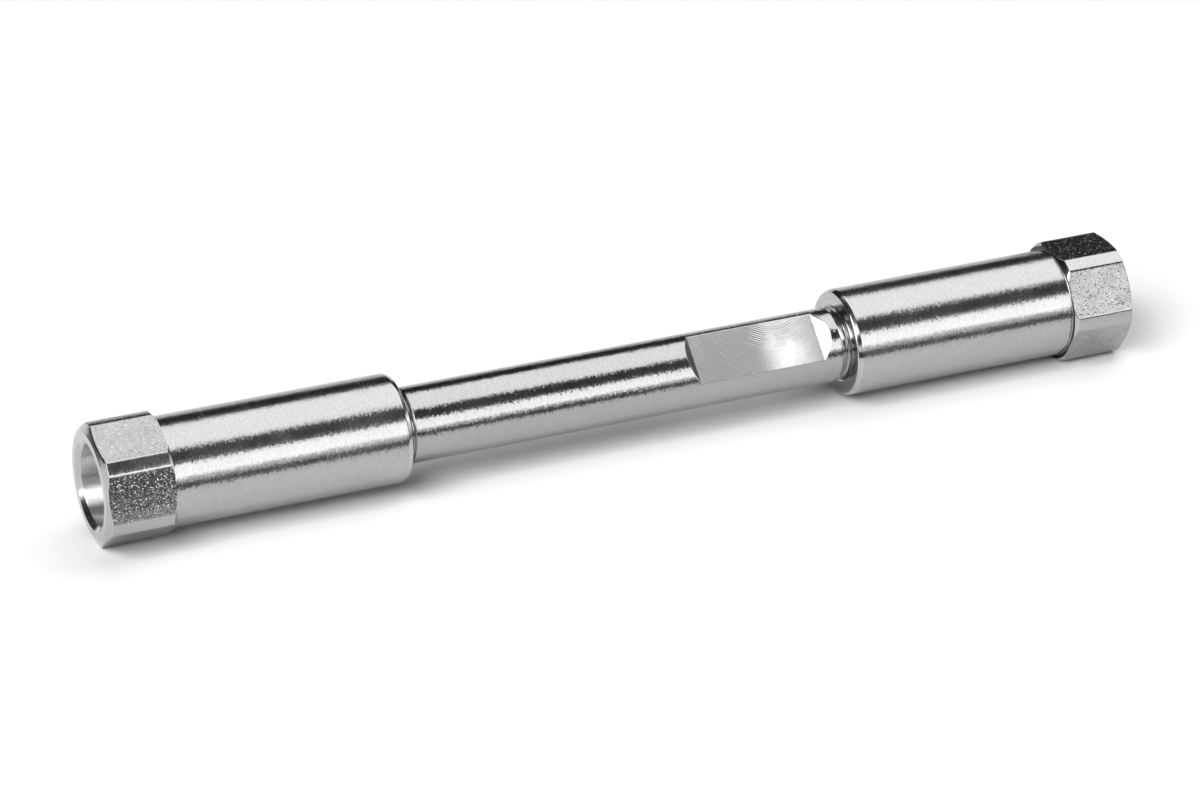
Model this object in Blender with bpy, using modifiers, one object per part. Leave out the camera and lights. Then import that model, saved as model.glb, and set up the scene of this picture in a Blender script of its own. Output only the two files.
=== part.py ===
"""Short analytical liquid-chromatography column.

A thick-walled steel tube holds a packed bed. Each end is closed by a long
one-piece end fitting, a cylindrical sleeve with a hexagonal head, which screws
on the tube's threaded neck and presses a frit in its seal ring against the
tube's end face. The column lies along X on its two heads, with the surface
under it at Z = 0. Sizes are in metres and angles in degrees.
"""

import math

import bmesh
import bpy
from mathutils import Matrix

COLLECTION = "hplc_column"
CUTTER_COLLECTION = "cutters"

# Turned surfaces
TURN_STEPS = 72
ON_AXIS_MERGE = 0.000001

# Column tube
BED_LENGTH = 0.0750
TUBE_DIAMETER = 0.009525
BORE_DIAMETER = 0.0046
SHOULDER_SPAN = 0.0579
TUBE_EDGE_BREAK = 0.00018
BORE_EDGE_BREAK = 0.00010

# Screw joint between tube and fitting, drawn at the thread's pitch diameter
THREAD_DIAMETER = 0.00851
THREAD_CLEARANCE = 0.00005
THREAD_LEAD = 0.00050

# Wrench flats milled on the tube
WRENCH_WIDTH = 0.0070
WRENCH_FLAT_LENGTH = 0.0171
WRENCH_FLAT_CENTRE = 0.01775
WRENCH_FLAT_ANGLE = 47.5
WRENCH_RAMP_ANGLE = 45.0

# End fitting, outside
SLEEVE_DIAMETER = 0.01367
SLEEVE_EDGE_BREAK = 0.00028
SLEEVE_LENGTH = 0.03045
HEAD_LENGTH = 0.00865
HEAD_DIAMETER = 0.01558
HEX_WIDTH = 0.0142875
HEAD_SHOULDER_BEVEL = 0.00040
END_FACE_DIAMETER = 0.0136
END_CHAMFER_LENGTH = 0.00045

# End fitting, inside, from the sleeve's free end
FRIT_SEAT_DEPTH = 0.0093
FRIT_RECESS_DEPTH = 0.00165
THREAD_RELIEF_LENGTH = 0.0008
THREAD_RELIEF_CUT = 0.00035
SPREADER_DIAMETER = 0.0044
SPREADER_DEPTH = 0.00025
PASSAGE_DIAMETER = 0.0005
WEB_THICKNESS = 0.0018

# End fitting, tubing port and counterbore, from the outer end
COUNTERBORE_DIAMETER = 0.0100
COUNTERBORE_DEPTH = 0.0137
MOUTH_CHAMFER = 0.00065
MOUTH_CHAMFER_LENGTH = 0.00055
PORT_THREAD_DIAMETER = 0.00431
PORT_THREAD_DEPTH = 0.0080
PORT_COUNTERSINK = 0.00030
FERRULE_CONE_ANGLE = 40.0
PILOT_DIAMETER = 0.00165

# Frit and its seal ring
FRIT_THICKNESS = 0.0016
FRIT_DIAMETER = 0.0050
FRIT_EDGE_BREAK = 0.0001
SEAL_RING_DIAMETER = 0.0076

# Clearances between pieces
SEAT_GAP = 0.0001
FRIT_CLEARANCE = 0.00003
RECESS_CLEARANCE = 0.00005
BED_CLEARANCE = 0.00003

# How the heads are turned about the column's axis
INLET_HEX_ANGLE = -21.1
OUTLET_HEX_ANGLE = 0.0

STEEL = ("turned_steel", (0.66, 0.66, 0.67), 0.24, 1.0)
FRIT_STEEL = ("sintered_steel", (0.42, 0.41, 0.40), 0.62, 1.0)
POLYMER = ("seal_polymer", (0.60, 0.50, 0.36), 0.48, 0.0)
SILICA = ("bed_silica", (0.88, 0.87, 0.84), 0.90, 0.0)

FITTING_LENGTH = SLEEVE_LENGTH + HEAD_LENGTH
STACK_LENGTH = FRIT_THICKNESS + 2 * SEAT_GAP
FITTING_START = BED_LENGTH / 2 + STACK_LENGTH - FRIT_SEAT_DEPTH
MARGIN = 0.002


def hexagon_reach(angle):
    """Lowest reach of a head below the column's axis.

    angle: turn of the hexagon from lying on a flat. The head is the hexagon
    of HEX_WIDTH inside the circle of HEAD_DIAMETER, so the reach is either a
    corner of the flat or the round land between two flats.
    """
    radius = HEAD_DIAMETER / 2
    half_flat = math.degrees(math.acos(HEX_WIDTH / HEAD_DIAMETER))
    off_flat = abs((angle + 30) % 60 - 30)
    return radius * math.cos(math.radians(max(half_flat - off_flat, 0.0)))


AXIS_HEIGHT = max(hexagon_reach(INLET_HEX_ANGLE), hexagon_reach(OUTLET_HEX_ANGLE))


def clear_scene():
    """Removes every object, so that the script starts from nothing."""
    for obj in list(bpy.data.objects):
        bpy.data.objects.remove(obj, do_unlink=True)


def make_collection(name):
    """Adds a collection to the scene."""
    collection = bpy.data.collections.new(name)
    bpy.context.scene.collection.children.link(collection)
    return collection


def make_material(name, colour, roughness, metallic):
    """Principled material of one colour, roughness and metallic value."""
    material = bpy.data.materials.new(name)
    material.use_nodes = True
    shader = material.node_tree.nodes["Principled BSDF"]
    shader.inputs["Base Color"].default_value = (*colour, 1.0)
    shader.inputs["Roughness"].default_value = roughness
    shader.inputs["Metallic"].default_value = metallic
    return material


def turned(name, profile, closed):
    """Object turned about its own Z axis.

    profile: (radius, z) points that run down the outer side. A closed profile
    makes a ring, and an open one starts and ends on the axis.
    """
    mesh = bpy.data.meshes.new(name)
    count = len(profile)
    edges = [(i, i + 1) for i in range(count - 1)]
    if closed:
        edges.append((count - 1, 0))
    mesh.from_pydata([(radius, 0.0, z) for radius, z in profile], edges, [])
    obj = bpy.data.objects.new(name, mesh)
    screw = obj.modifiers.new("turn", "SCREW")
    screw.steps = TURN_STEPS
    screw.render_steps = TURN_STEPS
    screw.use_merge_vertices = True
    screw.merge_threshold = ON_AXIS_MERGE
    return obj


def subtract(obj, cutter):
    """Cuts the cutter from the object."""
    boolean = obj.modifiers.new(cutter.name, "BOOLEAN")
    boolean.operation = "DIFFERENCE"
    boolean.solver = "EXACT"
    boolean.object = cutter


def hide_cutter(cutter, collection):
    """Keeps a cutter as a wire outside the model's own collection."""
    cutter.hide_render = True
    cutter.display_type = "WIRE"
    collection.objects.link(cutter)


def baked_mesh(obj, name):
    """The object's evaluated shape as a mesh that copies can share."""
    graph = bpy.context.evaluated_depsgraph_get()
    mesh = bpy.data.meshes.new_from_object(obj.evaluated_get(graph))
    mesh.name = name
    mesh.shade_smooth()
    mesh.set_sharp_from_angle(angle=math.radians(25))
    return mesh


def tube_profile():
    """(radius, z) of the tube's wall, symmetric about its middle."""
    bore = BORE_DIAMETER / 2
    neck = THREAD_DIAMETER / 2
    outer = TUBE_DIAMETER / 2
    end = BED_LENGTH / 2
    shoulder = SHOULDER_SPAN / 2
    upper = [
        (bore, end - BORE_EDGE_BREAK),
        (bore + BORE_EDGE_BREAK, end),
        (neck - THREAD_LEAD, end),
        (neck, end - THREAD_LEAD),
        (neck, shoulder),
        (outer - TUBE_EDGE_BREAK, shoulder),
        (outer, shoulder - TUBE_EDGE_BREAK),
    ]
    return upper + [(radius, -z) for radius, z in reversed(upper)]


def wrench_flat_cutter(name, side):
    """Block with sloped ends that mills one flat of the pair.

    side: +1 or -1, the side of the tube. The block's lower face is the flat,
    and its ends lean outwards at WRENCH_RAMP_ANGLE.
    """
    depth = TUBE_DIAMETER / 2 - WRENCH_WIDTH / 2 + MARGIN
    run = depth / math.tan(math.radians(WRENCH_RAMP_ANGLE))
    mesh = bpy.data.meshes.new(name)
    shape = bmesh.new()
    bmesh.ops.create_cube(shape, size=1.0)
    for corner in shape.verts:
        high = corner.co.x > 0
        half_length = WRENCH_FLAT_LENGTH / 2 + (run if high else 0.0)
        corner.co.x = WRENCH_WIDTH / 2 + (depth if high else 0.0)
        corner.co.y = math.copysign(TUBE_DIAMETER / 2 + MARGIN, corner.co.y)
        corner.co.z = WRENCH_FLAT_CENTRE + math.copysign(half_length, corner.co.z)
    if side < 0:
        bmesh.ops.rotate(shape, verts=shape.verts, matrix=Matrix.Rotation(math.pi, 3, "Z"))
    bmesh.ops.recalc_face_normals(shape, faces=shape.faces)
    shape.to_mesh(mesh)
    shape.free()
    return bpy.data.objects.new(name, mesh)


def make_tube(model, cutters, material):
    """Tube with threaded necks, bore and a pair of wrench flats."""
    blank = turned("tube_blank", tube_profile(), closed=True)
    hide_cutter(blank, cutters)
    for side in (1, -1):
        cutter = wrench_flat_cutter(f"wrench_flat_{'front' if side > 0 else 'back'}", side)
        hide_cutter(cutter, cutters)
        subtract(blank, cutter)
    tube = bpy.data.objects.new("column_tube", baked_mesh(blank, "column_tube"))
    tube.data.materials.append(material)
    model.objects.link(tube)
    return tube


def fitting_outside():
    """(radius, z) down the fitting's outside, from the mouth to the free end."""
    head = HEAD_DIAMETER / 2
    sleeve = SLEEVE_DIAMETER / 2
    return [
        (COUNTERBORE_DIAMETER / 2 + MOUTH_CHAMFER, FITTING_LENGTH),
        (END_FACE_DIAMETER / 2, FITTING_LENGTH),
        (head, FITTING_LENGTH - END_CHAMFER_LENGTH),
        (head, SLEEVE_LENGTH + HEAD_SHOULDER_BEVEL),
        (head - HEAD_SHOULDER_BEVEL, SLEEVE_LENGTH),
        (sleeve, SLEEVE_LENGTH),
        (sleeve, SLEEVE_EDGE_BREAK),
        (sleeve - SLEEVE_EDGE_BREAK, 0.0),
    ]


def fitting_inside():
    """(radius, z) up the fitting's inside, from the free end to the mouth."""
    thread = THREAD_DIAMETER / 2 + THREAD_CLEARANCE
    recess = SEAL_RING_DIAMETER / 2 + RECESS_CLEARANCE
    recess_start = FRIT_SEAT_DEPTH - FRIT_RECESS_DEPTH
    relief_start = recess_start - THREAD_RELIEF_LENGTH
    relief = thread + THREAD_RELIEF_CUT
    passage = PASSAGE_DIAMETER / 2
    pilot = PILOT_DIAMETER / 2
    port = PORT_THREAD_DIAMETER / 2
    pilot_bottom = FRIT_SEAT_DEPTH + WEB_THICKNESS
    counterbore_bottom = FITTING_LENGTH - COUNTERBORE_DEPTH
    cone_top = counterbore_bottom - PORT_THREAD_DEPTH
    cone_length = (port - pilot) / math.tan(math.radians(FERRULE_CONE_ANGLE / 2))
    return [
        (thread + THREAD_LEAD, 0.0),
        (thread, THREAD_LEAD),
        (thread, relief_start),
        (relief, relief_start),
        (relief, recess_start),
        (recess, recess_start),
        (recess, FRIT_SEAT_DEPTH),
        (SPREADER_DIAMETER / 2, FRIT_SEAT_DEPTH),
        (passage, FRIT_SEAT_DEPTH + SPREADER_DEPTH),
        (passage, pilot_bottom),
        (pilot, pilot_bottom),
        (pilot, cone_top - cone_length),
        (port, cone_top),
        (port, counterbore_bottom - PORT_COUNTERSINK),
        (port + PORT_COUNTERSINK, counterbore_bottom),
        (COUNTERBORE_DIAMETER / 2, counterbore_bottom),
        (COUNTERBORE_DIAMETER / 2, FITTING_LENGTH - MOUTH_CHAMFER_LENGTH),
    ]


def hexagon_cutter():
    """Hexagonal tube whose bore leaves the head's six flats."""
    bpy.ops.mesh.primitive_cylinder_add(
        vertices=6,
        radius=HEX_WIDTH / math.sqrt(3),
        depth=HEAD_LENGTH + 2 * MARGIN,
        end_fill_type="NOTHING",
        location=(0.0, 0.0, SLEEVE_LENGTH + HEAD_LENGTH / 2 + MARGIN / 2),
    )
    cutter = bpy.context.object
    cutter.name = "head_hexagon"
    bpy.context.collection.objects.unlink(cutter)
    shell = cutter.modifiers.new("wall", "SOLIDIFY")
    shell.thickness = MARGIN
    shell.offset = 1.0
    shell.use_even_offset = True
    return cutter


def make_fitting_mesh(cutters):
    """Turned fitting with its head milled to a hexagon."""
    blank = turned("fitting_blank", fitting_outside() + fitting_inside(), closed=True)
    hide_cutter(blank, cutters)
    cutter = hexagon_cutter()
    hide_cutter(cutter, cutters)
    subtract(blank, cutter)
    return baked_mesh(blank, "end_fitting")


def make_seal_ring_mesh(cutters):
    """Flat ring with broken edges that holds the frit."""
    inner = FRIT_DIAMETER / 2
    outer = SEAL_RING_DIAMETER / 2
    edge = FRIT_EDGE_BREAK
    profile = [
        (inner, FRIT_THICKNESS),
        (outer - edge, FRIT_THICKNESS),
        (outer, FRIT_THICKNESS - edge),
        (outer, edge),
        (outer - edge, 0.0),
        (inner, 0.0),
    ]
    blank = turned("seal_ring_blank", profile, closed=True)
    hide_cutter(blank, cutters)
    return baked_mesh(blank, "seal_ring")


def make_frit_mesh(cutters):
    """Porous disc with broken edges that sits in the seal ring."""
    outer = FRIT_DIAMETER / 2 - FRIT_CLEARANCE
    edge = FRIT_EDGE_BREAK
    profile = [
        (0.0, FRIT_THICKNESS),
        (outer - edge, FRIT_THICKNESS),
        (outer, FRIT_THICKNESS - edge),
        (outer, edge),
        (outer - edge, 0.0),
        (0.0, 0.0),
    ]
    blank = turned("frit_blank", profile, closed=False)
    hide_cutter(blank, cutters)
    return baked_mesh(blank, "frit")


def make_bed(model, cutters, material):
    """Packed bed that fills the bore from end to end."""
    radius = BORE_DIAMETER / 2 - BED_CLEARANCE
    half = BED_LENGTH / 2
    profile = [(0.0, half), (radius, half), (radius, -half), (0.0, -half)]
    blank = turned("bed_blank", profile, closed=False)
    hide_cutter(blank, cutters)
    bed = bpy.data.objects.new("packed_bed", baked_mesh(blank, "packed_bed"))
    bed.data.materials.append(material)
    model.objects.link(bed)
    return bed


def place_on_axis(obj, axis, outward, distance, turn):
    """Sets an object's own Z along the column's axis.

    outward: +1 for the outlet end and -1 for the inlet end.
    distance: how far the object's origin is from the column's middle.
    turn: turn about the object's own Z, in degrees, before it is laid down.
    """
    obj.parent = axis
    obj.rotation_mode = "ZYX"
    obj.rotation_euler = (0.0, outward * math.pi / 2, math.radians(turn))
    obj.location = (outward * distance, 0.0, 0.0)


def make_axis(model):
    """Empty at the column's middle, on its axis."""
    axis = bpy.data.objects.new("column_axis", None)
    axis.empty_display_size = TUBE_DIAMETER
    axis.location = (0.0, 0.0, AXIS_HEIGHT)
    model.objects.link(axis)
    return axis


def main():
    """Builds the column in its own collection."""
    clear_scene()
    model = make_collection(COLLECTION)
    cutters = make_collection(CUTTER_COLLECTION)
    steel = make_material(*STEEL)
    frit_steel = make_material(*FRIT_STEEL)
    polymer = make_material(*POLYMER)
    silica = make_material(*SILICA)

    axis = make_axis(model)
    tube_turn = -90.0 - WRENCH_FLAT_ANGLE
    place_on_axis(make_tube(model, cutters, steel), axis, 1, 0.0, tube_turn)
    place_on_axis(make_bed(model, cutters, silica), axis, 1, 0.0, tube_turn)

    pieces = (
        ("end_fitting", make_fitting_mesh(cutters), steel, FITTING_START),
        ("seal_ring", make_seal_ring_mesh(cutters), polymer, BED_LENGTH / 2 + SEAT_GAP),
        ("frit", make_frit_mesh(cutters), frit_steel, BED_LENGTH / 2 + SEAT_GAP),
    )
    ends = (("inlet", -1, INLET_HEX_ANGLE), ("outlet", 1, OUTLET_HEX_ANGLE))
    for piece, mesh, material, distance in pieces:
        mesh.materials.append(material)
        for end, outward, hex_angle in ends:
            obj = bpy.data.objects.new(f"{end}_{piece}", mesh)
            model.objects.link(obj)
            place_on_axis(obj, axis, outward, distance, hex_angle)


if __name__ == "__main__":
    main()
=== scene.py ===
"""A short steel chromatography column, dressed for a studio picture.

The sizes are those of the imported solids, and the height of the axis and the places of
the inner pieces are read from them. This file turns them into smooth surfaces: the
milled tube with its threaded necks, the two screwed end fittings with their hexagonal
heads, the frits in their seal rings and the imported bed. Each surface is a grid of
points, of a profile carried round the column's axis or of a section carried along a
helix. Lengths are in metres and angles in degrees, and angles round the axis are
counted from -Y towards +Z. The shaders count in millimetres.
"""

import logging
import math
from dataclasses import dataclass, field
from enum import Enum
from functools import cache
from typing import ClassVar, Sequence

import bmesh
import bpy
import numpy as np
from mathutils import Matrix, Vector


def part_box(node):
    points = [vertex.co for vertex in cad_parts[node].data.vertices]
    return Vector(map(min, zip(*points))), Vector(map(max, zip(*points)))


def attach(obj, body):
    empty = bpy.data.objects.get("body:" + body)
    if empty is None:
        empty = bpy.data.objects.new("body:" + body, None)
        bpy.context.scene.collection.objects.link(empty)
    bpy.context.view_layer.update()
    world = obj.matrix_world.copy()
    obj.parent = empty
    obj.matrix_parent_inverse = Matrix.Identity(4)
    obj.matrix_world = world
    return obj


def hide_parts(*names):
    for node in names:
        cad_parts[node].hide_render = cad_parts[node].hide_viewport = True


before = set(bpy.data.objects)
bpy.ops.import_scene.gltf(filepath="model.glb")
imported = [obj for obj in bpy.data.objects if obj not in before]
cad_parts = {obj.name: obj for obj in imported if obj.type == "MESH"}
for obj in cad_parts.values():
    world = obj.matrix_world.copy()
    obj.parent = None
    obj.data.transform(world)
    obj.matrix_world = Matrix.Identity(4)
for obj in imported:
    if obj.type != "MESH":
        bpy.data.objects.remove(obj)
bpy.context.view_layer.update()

Node = bpy.types.Node
Socket = bpy.types.NodeSocket
Triple = tuple[float, float, float]

LOG = logging.getLogger("column")
MM = 0.001
LAY_MAP = "lay"


class End(Enum):
    """The two ends of the column, with the direction that points outwards."""

    INLET = -1
    OUTLET = 1

    @property
    def label(self) -> str:
        """Name that the nodes and bodies of this end start with."""
        return self.name.lower()


class Cut(Enum):
    """How a stretch of surface was made, or that shade is painted on it, in the order of a piece's
    material slots.
    """

    TURNED = 0
    FLAT = 1
    FACED = 2
    BORED = 3
    THREADED = 4
    RAMPED = 5
    # Painted shade: the dark steel of the head's shoulder face, where the sleeve meets the head.
    SHADE_PAINTED = 6


Corner = tuple[float, float, float, Cut]


def axis_height() -> float:
    """Height of the column's axis, which is the middle height of the tube's box."""
    low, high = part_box("column_tube")
    return 0.5 * (low[2] + high[2])


AXIS_HEIGHT = axis_height()


# Surfaces


@dataclass
class Profile:
    """Turned outline, as points at a distance along the axis and a radius.

    Attributes:
        along: distance of each point along the axis.
        radius: distance of each point from the axis.
        cut: how the stretch that starts at each point was made.
    """

    along: list[float] = field(default_factory=list)
    radius: list[float] = field(default_factory=list)
    cut: list[Cut] = field(default_factory=list)

    def add(self, point: Sequence[float], cut: Cut) -> None:
        """Adds one point.

        Args:
            point: distance along the axis and radius.
            cut: how the stretch after it was made.
        """
        self.along.append(point[0])
        self.radius.append(point[1])
        self.cut.append(cut)

    def columns(self) -> tuple[np.ndarray, np.ndarray, np.ndarray]:
        """Distances along the axis, radii and slot numbers, each as one column."""
        slots = [cut.value for cut in self.cut]
        return tuple(np.array(values)[:, None] for values in (self.along, self.radius, slots))


class Rounding:
    """How the corners of an outline are rounded.

    Attributes:
        POINTS: points of each arc.
        ARC_SHARE: greatest share of a side that an arc takes.
        HOLD: distance of the holding points from the arc, in edge sizes.
        HOLD_SHARE: greatest share of a side at which a holding point stands.
    """

    POINTS = 4
    ARC_SHARE = 0.4
    HOLD = 0.8
    HOLD_SHARE = 0.46


def round_corners(corners: Sequence[Corner]) -> Profile:
    """Replaces each corner of an outline with an arc and two holding points.

    The arc is the curve (1-u)^2 p0 + 2u(1-u) p1 + u^2 p2 with p1 at the corner, which
    touches both sides. A holding point stands a little way along each side, so that
    smooth shading stays flat on the sides.

    Args:
        corners: (along, radius, edge size, cut of the stretch that follows).

    Returns:
        The outline with its edges broken.
    """
    outline = Profile()
    u = np.linspace(0.0, 1.0, Rounding.POINTS)[:, None]
    for index, (along, radius, edge, cut) in enumerate(corners):
        if edge <= 0:
            outline.add((along, radius), cut)
            continue
        here = np.array([along, radius])
        before_cut = corners[index - 1][3]
        back = np.array(corners[index - 1][:2]) - here
        ahead = np.array(corners[(index + 1) % len(corners)][:2]) - here
        back_length, ahead_length = np.linalg.norm(back), np.linalg.norm(ahead)
        back, ahead = back / back_length, ahead / ahead_length
        reach = min(edge, Rounding.ARC_SHARE * back_length, Rounding.ARC_SHARE * ahead_length)
        held = reach * (1 + Rounding.HOLD)
        outline.add(here + back * min(held, Rounding.HOLD_SHARE * back_length), before_cut)
        start, end = here + back * reach, here + ahead * reach
        arc = (1 - u) ** 2 * start + 2 * u * (1 - u) * here + u**2 * end
        for step, point in enumerate(arc):
            outline.add(point, before_cut if step < Rounding.POINTS // 2 else cut)
        outline.add(here + ahead * min(held, Rounding.HOLD_SHARE * ahead_length), cut)
    return outline


def soft_min(first: np.ndarray, second: np.ndarray, blend: float) -> np.ndarray:
    """Smaller of two heights, with the crease between them rounded.

    With h = max(k - |a - b|, 0) / k the value is min(a, b) - k h^2 / 4.

    Args:
        first: first height a.
        second: second height b.
        blend: difference k under which the two are blended.

    Returns:
        The blended minimum.
    """
    share = np.maximum(blend - np.abs(first - second), 0.0) / blend
    return np.minimum(first, second) - 0.25 * blend * share**2


def around(along: np.ndarray, radius: np.ndarray, angle: np.ndarray) -> np.ndarray:
    """Points round the column's axis.

    x = a, y = -r cos(phi), z = h + r sin(phi), with h the axis height.

    Args:
        along: distance along the axis, from the middle of the column.
        radius: distance from the axis.
        angle: angle phi round the axis, in degrees.

    Returns:
        Points in the last dimension of the array.
    """
    along, radius, phi = np.broadcast_arrays(along, radius, np.radians(angle))
    return np.stack([along, -radius * np.cos(phi), AXIS_HEIGHT + radius * np.sin(phi)], axis=-1)


class Skin:
    """Collects the grid surfaces of one piece and makes one mesh of them.

    Attributes:
        SHARP_ANGLE: angle between faces over which an edge is drawn sharp.
        MERGE_DISTANCE: distance under which points are one.
        LAY_SCALE: units of the lay map in one metre along a profile.
    """

    SHARP_ANGLE = 33.0
    MERGE_DISTANCE = 1e-8
    LAY_SCALE = 50

    def __init__(self, name: str) -> None:
        """Starts an empty piece.

        Args:
            name: name of the piece.
        """
        self.name = name
        self.points: list[np.ndarray] = []
        self.quads: list[np.ndarray] = []
        self.cuts: list[np.ndarray] = []
        self.lays: list[np.ndarray] = []
        self.count = 0

    def add_grid(
        self, points: np.ndarray, cuts: np.ndarray | int, rows_close: bool, columns_close: bool = True
    ) -> None:
        """Adds one grid of points as quads, turned so that they face outwards.

        Args:
            points: array of rows, columns and 3.
            cuts: slot number of each cell, or one for all.
            rows_close: whether the last row joins the first.
            columns_close: whether the last column joins the first.
        """
        rows, columns = points.shape[:2]
        i = np.arange(rows if rows_close else rows - 1)[:, None]
        j = np.arange(columns if columns_close else columns - 1)[None, :]
        i2, j2 = (i + 1) % rows, (j + 1) % columns
        corners = ((i, j), (i2, j), (i2, j2), (i, j2))
        quads = np.stack([a * columns + b for a, b in corners], axis=-1).reshape(-1, 4)
        step = np.linalg.norm(np.roll(points, -1, axis=0) - points, axis=-1).mean(axis=1)
        reach = np.concatenate([[0.0], np.cumsum(step)]) * self.LAY_SCALE
        u, u2 = reach[i] + 0 * j, reach[i + 1] + 0 * j
        v, v2 = j / columns + 0 * i, (j + 1) / columns + 0 * i
        places = ((u, v), (u2, v), (u2, v2), (u, v2))
        lay = np.stack([np.stack(place, axis=-1) for place in places], axis=2).reshape(-1, 4, 2)
        flat = points.reshape(-1, 3)
        a, b, c, d = (flat[quads[:, k]] - flat.mean(axis=0) for k in range(4))
        volume = np.einsum("ij,ij->i", a, np.cross(b, c) + np.cross(c, d)).sum()
        if volume < 0:
            quads, lay = quads[:, ::-1], lay[:, ::-1]
        self.points.append(flat)
        self.quads.append(quads + self.count)
        self.lays.append(lay)
        self.cuts.append(np.broadcast_to(cuts, (i.size, j.size)).reshape(-1))
        self.count += len(flat)

    def make(self, finishes: Sequence["Finish"]) -> bpy.types.Object:
        """Makes the piece's object.

        Args:
            finishes: finish of each slot.

        Returns:
            The object, at the origin, with its place in its mesh.
        """
        mesh = bpy.data.meshes.new(self.name)
        mesh.from_pydata(np.concatenate(self.points).tolist(), [], np.concatenate(self.quads).tolist())
        mesh.uv_layers.new(name=LAY_MAP)
        lay = np.concatenate(self.lays).reshape(-1).astype(np.float32)
        mesh.uv_layers[LAY_MAP].data.foreach_set("uv", lay)
        mesh.polygons.foreach_set("material_index", np.concatenate(self.cuts).astype(np.int32))
        for finish in finishes:
            mesh.materials.append(finish.material())
        self.close_poles(mesh)
        mesh.polygons.foreach_set("use_smooth", np.ones(len(mesh.polygons), bool))
        mesh.set_sharp_from_angle(angle=math.radians(self.SHARP_ANGLE))
        mesh.validate()
        mesh.update()
        piece = bpy.data.objects.new(self.name, mesh)
        bpy.context.scene.collection.objects.link(piece)
        return piece

    def close_poles(self, mesh: bpy.types.Mesh) -> None:
        """Merges the points of a mesh that coincide, such as those of a pole.

        Args:
            mesh: mesh to change.
        """
        work = bmesh.new()
        work.from_mesh(mesh)
        bmesh.ops.remove_doubles(work, verts=work.verts, dist=self.MERGE_DISTANCE)
        work.to_mesh(mesh)
        work.free()


@dataclass
class ThreadRidge:
    """One helical ridge of a right-handed thread.

    Attributes:
        ends: distances along the axis between which the ridge runs, in either order.
        phase: distance along the axis of the ridge's middle at angle 0.
        pitch: distance from turn to turn.
        foot: radius of the surface that carries the ridge.
        crest: radius of its crest.
        crest_width: width of its flat crest.
        flank_angle: lean of each flank from the square.
        overlap: how far the flanks go past their foot, as a share of the flank or the depth.
        sunk: height of the section's underside, as a share of the depth.
        edge: width of the crest's rounded edges, as a share of the flank.
        edge_height: height of those edges, as a share of the depth.
        run_out_turns: length of helix, in turns, over which each end fades.
        steps_a_turn: rows of the grid in one turn.
    """

    ends: tuple[float, float]
    phase: float
    pitch: float
    foot: float
    crest: float
    crest_width: float
    flank_angle: ClassVar[float] = 30.0
    overlap: ClassVar[float] = 0.10
    sunk: ClassVar[float] = -0.16
    edge: ClassVar[float] = 0.06
    edge_height: ClassVar[float] = 0.94
    run_out_turns: ClassVar[float] = 0.12
    steps_a_turn: ClassVar[int] = 72

    def grid(self) -> np.ndarray:
        """Points of the ridge.

        The middle of the ridge is at x = phase - pitch phi / 360, which is a
        right-handed helix. Its section is a trapezium whose flanks go a little into the
        surface, and at both ends it sinks into the surface and comes to a point.

        Returns:
            Array of steps, section points and 3.
        """
        start, end = sorted(self.ends)
        first = 360.0 * (self.phase - end) / self.pitch
        last = 360.0 * (self.phase - start) / self.pitch
        phi = np.linspace(first, last, int(round((last - first) / 360.0 * self.steps_a_turn)))
        depth = self.crest - self.foot
        flank = abs(depth) * math.tan(math.radians(self.flank_angle))
        half, foot = self.crest_width / 2, self.crest_width / 2 + flank
        outer, edge = foot + self.overlap * flank, half + self.edge * flank
        inner, under = half * 0.6, 0.5 * foot
        across = np.array([-outer, -edge, -inner, inner, edge, outer, under, -under])
        side = [-self.overlap, self.edge_height, 1.0]
        height = np.array([*side, *side[::-1], self.sunk, self.sunk])
        turns_in = np.minimum(phi - first, last - phi)[:, None] / 360.0
        fade = np.clip(turns_in / self.run_out_turns, 0.0, 1.0)
        fade = fade * fade * (3 - 2 * fade)
        lift = height * fade + self.sunk * (1 - fade)
        narrow = np.where(turns_in < 1e-9, 0.0, 1.0)
        along = self.phase - self.pitch * phi[:, None] / 360.0 + across * narrow
        return around(along, self.foot + depth * lift, phi[:, None])


# Shader nodes


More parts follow.
